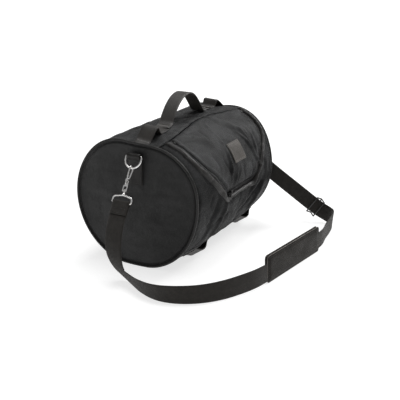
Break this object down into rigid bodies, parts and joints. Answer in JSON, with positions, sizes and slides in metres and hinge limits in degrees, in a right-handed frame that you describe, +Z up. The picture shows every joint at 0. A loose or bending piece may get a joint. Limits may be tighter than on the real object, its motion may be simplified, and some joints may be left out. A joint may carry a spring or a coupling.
{
  "type": "duffel bag",
  "caption": "Barrel duffel bag in dark waxed canvas with a zipped front flap, carry handle, webbing loops and a clip-on shoulder strap with a leather pad.",
  "frame": {"origin": "middle of the flat base patch, on the ground", "axes": "+X along the barrel towards the far end panel, +Y to the back, +Z up; the flap faces -Y"},
  "size_m": [0.5534, 0.4593, 0.333],
  "materials": {
    "canvas": "dark waxed cotton canvas, soft sheen",
    "lining": "plain woven lining, matt",
    "piping": "black leather piping, semi-gloss",
    "webbing": "tight woven cotton webbing, matt",
    "leather": "dark grey-brown leather, fine grain",
    "label": "smooth grey-brown leather patch, stitched, blank",
    "zip_teeth": "black coated coil and slider",
    "bright_metal": "polished nickel plate",
    "dark_metal": "black nickel wire, satin"
  },
  "bodies": {
    "bag": {"back_panel": "canvas", "barrel_lining": "lining", "bottom_panel": "canvas", "far_bottom_loop": "leather", "far_end_lining": "lining", "far_end_panel": "canvas", "far_handle_foot": "leather", "far_piping": "piping", "far_ring_tab": "leather", "far_top_loop": "leather", "front_panel": "canvas", "near_bottom_loop": "leather", "near_end_lining": "lining", "near_end_panel": "canvas", "near_handle_foot": "leather", "near_piping": "piping", "near_ring_tab": "leather", "near_top_loop": "leather", "strap_far": "webbing", "strap_near": "webbing", "strap_return": "webbing", "top_panel": "canvas", "zip_coil_body": "zip_teeth", "zip_guard": "leather", "zip_tape_body": "webbing"},
    "flap": {"flap_panel": "canvas", "flap_lining": "lining", "zip_tape_flap": "webbing", "zip_coil_flap": "zip_teeth", "zip_end_stops": "zip_teeth", "label_patch": "label"},
    "zip_slider": {"zip_slider": "zip_teeth"},
    "zip_pull": {"zip_pull": "leather"},
    "carry_handle": {"carry_handle": "leather"},
    "shoulder_pad": {"pad_outer": "leather", "pad_inner": "leather", "pad_edge_seam": "leather"},
    "adjuster": {"strap_adjuster": "dark_metal"},
    "near_ring": {"near_d_ring": "bright_metal"},
    "near_clip": {"near_swivel_loop": "bright_metal", "near_webbing_fold": "webbing"},
    "near_hook": {"near_hook": "bright_metal", "near_gate_pin": "bright_metal", "near_gate_spring": "bright_metal"},
    "near_gate": {"near_hook_gate": "bright_metal"},
    "far_ring": {"far_d_ring": "bright_metal"},
    "far_clip": {"far_swivel_loop": "bright_metal", "far_webbing_fold": "webbing"},
    "far_hook": {"far_hook": "bright_metal", "far_gate_pin": "bright_metal", "far_gate_spring": "bright_metal"},
    "far_gate": {"far_hook_gate": "bright_metal"}
  },
  "joints": [
    {"name": "flap_open", "type": "hinge", "parent": "bag", "child": "flap", "pos_m": [0, -0.06001, 0.2667], "axis": [-1, 0, 0], "range_deg": [0, 120]},
    {"name": "zip_slide", "type": "slide", "parent": "flap", "child": "zip_slider", "axis": [1, 0, 0], "range_m": [0, 0.098]},
    {"name": "pull_flip", "type": "hinge", "parent": "zip_slider", "child": "zip_pull", "pos_m": [-0.042, -0.1476, 0.14157], "axis": [-1, 0, 0], "range_deg": [0, 150]},
    {"name": "handle_flop", "type": "hinge", "parent": "bag", "child": "carry_handle", "pos_m": [0, -0.008, 0.286], "axis": [1, 0, 0], "range_deg": [-50, 50], "stiffness_Nm_per_rad": 0.08},
    {"name": "near_clip_swing", "type": "hinge", "parent": "bag", "child": "near_clip", "pos_m": [-0.197, -0.008, 0.24], "axis": [0, 1, 0], "range_deg": [-14, 40], "stiffness_Nm_per_rad": 0.6, "springref_deg": 2.58},
    {"name": "near_ring_swing", "type": "hinge", "parent": "bag", "child": "near_ring", "pos_m": [-0.197, -0.008, 0.24], "axis": [0, 1, 0], "range_deg": [-14, 40]},
    {"name": "near_swivel", "type": "hinge", "parent": "near_clip", "child": "near_hook", "pos_m": [-0.20714, -0.008, 0.21825], "axis": [-0.5591, 0, -0.8291], "range_deg": [-30, 30]},
    {"name": "near_gate_open", "type": "hinge", "parent": "near_hook", "child": "near_gate", "pos_m": [-0.22435, -0.008, 0.1997], "axis": [0, 1, 0], "range_deg": [0, 22], "stiffness_Nm_per_rad": 0.05, "springref_deg": -2.86},
    {"name": "far_clip_swing", "type": "hinge", "parent": "bag", "child": "far_clip", "pos_m": [0.197, -0.008, 0.24], "axis": [0, -1, 0], "range_deg": [-4, 14], "stiffness_Nm_per_rad": 0.6, "springref_deg": 1.72},
    {"name": "far_ring_swing", "type": "hinge", "parent": "bag", "child": "far_ring", "pos_m": [0.197, -0.008, 0.24], "axis": [0, -1, 0], "range_deg": [-4, 14]},
    {"name": "far_swivel", "type": "hinge", "parent": "far_clip", "child": "far_hook", "pos_m": [0.20519, -0.02004, 0.22244], "axis": [0.1005, -0.6831, -0.7233], "range_deg": [-20, 20]},
    {"name": "far_gate_open", "type": "hinge", "parent": "far_hook", "child": "far_gate", "pos_m": [0.21158, -0.03685, 0.20464], "axis": [0, -0.727, 0.6866], "range_deg": [0, 22], "stiffness_Nm_per_rad": 0.05, "springref_deg": -2.86},
    {"name": "pad_slide", "type": "slide", "parent": "bag", "child": "shoulder_pad", "axis": [-0.9871, 0.16, 0], "range_m": [0, 0.015]},
    {"name": "adjuster_slide", "type": "slide", "parent": "bag", "child": "adjuster", "axis": [-0.1127, 0.8166, 0.5661], "range_m": [0, 0.08]}
  ],
  "couplings": [
    {"joint": "near_ring_swing", "follows": "near_clip_swing", "ratio": 1},
    {"joint": "far_ring_swing", "follows": "far_clip_swing", "ratio": 1}
  ]
}
